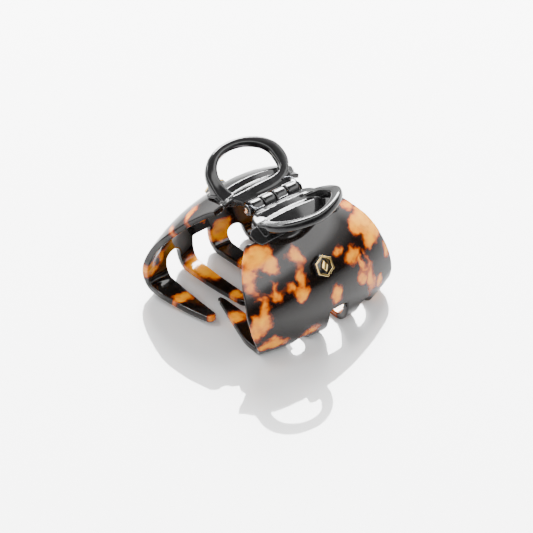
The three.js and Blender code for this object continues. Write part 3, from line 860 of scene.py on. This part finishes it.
for jaw_side in ("front", "back"):
    make_shell(jaw_side, tortoise(jaw_side))
    make_handle(jaw_side, BLACK)
    make_badge(jaw_side, BLACK, GOLD)
    for pin in ("fixing_pin_1", "fixing_pin_2"):
        node = frame["nodes"][f"{jaw_side}_{pin}"]
        node.data.materials.clear()
        node.data.materials.append(STEEL)
make_spring(BLUED)
make_pin(COPPER)
make_washer("pin_washer_left", -1, BLUED)
make_washer("pin_washer_right", 1, BLUED)

# ---------------------------------------------------------------- floor, light and camera

FLOOR_SIZE, FLOOR_DROP = 6, 0.00002
TOP_LIGHT = 5.0
# brightness by the height of the direction, from the horizon up, in front and behind
FRONT_SWEEP = [(0, 0.03), (0.22, 0.06), (0.42, 1.2), (0.55, 4.4), (0.78, 4.4), (0.83, 0.4),
               (1, 0.25)]
BACK_SWEEP = [(0, 1.0), (0.25, 2.5), (0.42, 4.0), (0.70, 4.0), (0.78, 0.4), (1, 0.25)]
BEHIND = (0.65, 0.76, 0)                    # the level direction that the photograph looks in
LAMP, LAMP_POWER = (0.5203, 0.6073, 0.6004), 70  # what the floor mirrors in the photograph
FRAME_PX, FOCAL_PX, SENSOR_MM = 533, 2873, 36
CAMERA_TURN, CAMERA_HEIGHT, CAMERA_ROLL = -40.59, 36.9, 1.53
CAMERA_AWAY, CAMERA_UP, CAMERA_ACROSS = 1.1492, 0.009744, -0.000032


def floor():
    bpy.ops.mesh.primitive_plane_add(size=FLOOR_SIZE, location=(0, 0, -FLOOR_DROP))
    plane = bpy.context.object
    plane.name = "floor"
    material = bpy.data.materials.new("white_acrylic")
    g = Graph(material)
    at = g.node("ShaderNodeTexCoord").outputs["Object"]
    shades = [(0.3, (0.61, 0.61, 0.61)), (0.7, (0.62, 0.62, 0.62))]
    g.set(Base_Color=g.ramp(g.noise(at, 3, 1), shades), Roughness=0.03, IOR=1.5)
    plane.data.materials.append(material)


def studio():
    """A white sweep behind, a soft band high in front, dim above and dark low in front.

    A lamp high behind shines in the polished floor, as in the photograph, where it looks white.
    """
    world = bpy.data.worlds.new("studio")
    bpy.context.scene.world = world
    g = Graph(world, "Background")
    direction = g.node("ShaderNodeTexCoord").outputs["Generated"]
    height = g.node("ShaderNodeSeparateXYZ", {0: direction}).outputs["Z"]

    def by_height(stops):
        return g.ramp(height, [(at, (value / TOP_LIGHT,) * 3) for at, value in stops])

    def towards(axis, low, high):
        dot = g.node("ShaderNodeVectorMath", {0: direction, 1: axis}, operation="DOT_PRODUCT")
        return g.mapped(dot.outputs["Value"], from_min=low, from_max=high)

    sweep = g.mix(towards(BEHIND, 0.42, 0.62), by_height(FRONT_SWEEP), by_height(BACK_SWEEP))
    level = g.math("MULTIPLY", sweep, TOP_LIGHT)
    glow = g.math("MULTIPLY_ADD", towards(LAMP, 0.955, 0.983), LAMP_POWER, level)
    g.set(Color=(1, 1, 1, 1), Strength=glow)


def softbox(name, at, aim, size, power):
    light = bpy.data.lights.new(name, "AREA")
    light.shape = "RECTANGLE"
    light.size, light.size_y = size
    light.energy = power
    obj = bpy.data.objects.new(name, light)
    obj.location = at
    obj.rotation_euler = (Vector(aim) - Vector(at)).to_track_quat("-Z", "Y").to_euler()
    bpy.context.scene.collection.objects.link(obj)


def camera():
    a, e, roll = (math.radians(v) for v in (CAMERA_TURN, CAMERA_HEIGHT, CAMERA_ROLL))
    right = Vector((math.cos(a), math.sin(a), 0))
    back = Vector((math.sin(a) * math.cos(e), -math.cos(a) * math.cos(e), math.sin(e)))
    up = back.cross(right)
    across = right * math.cos(roll) + up * math.sin(roll)
    upright = up * math.cos(roll) - right * math.sin(roll)
    data = bpy.data.cameras.new("camera")
    data.sensor_width = SENSOR_MM
    data.lens = SENSOR_MM * FOCAL_PX / FRAME_PX
    data.clip_start, data.clip_end = 0.05, 20
    obj = bpy.data.objects.new("camera", data)
    at = back * CAMERA_AWAY + upright * CAMERA_UP + across * CAMERA_ACROSS
    turn = Matrix((across, upright, back)).transposed().to_4x4()
    obj.matrix_world = Matrix.Translation(at) @ turn
    bpy.context.scene.collection.objects.link(obj)
    bpy.context.scene.camera = obj


floor()
studio()
softbox("key", (-0.25, 0.35, 0.75), (0, 0, 0.03), (0.30, 0.16), 3.0)
camera()
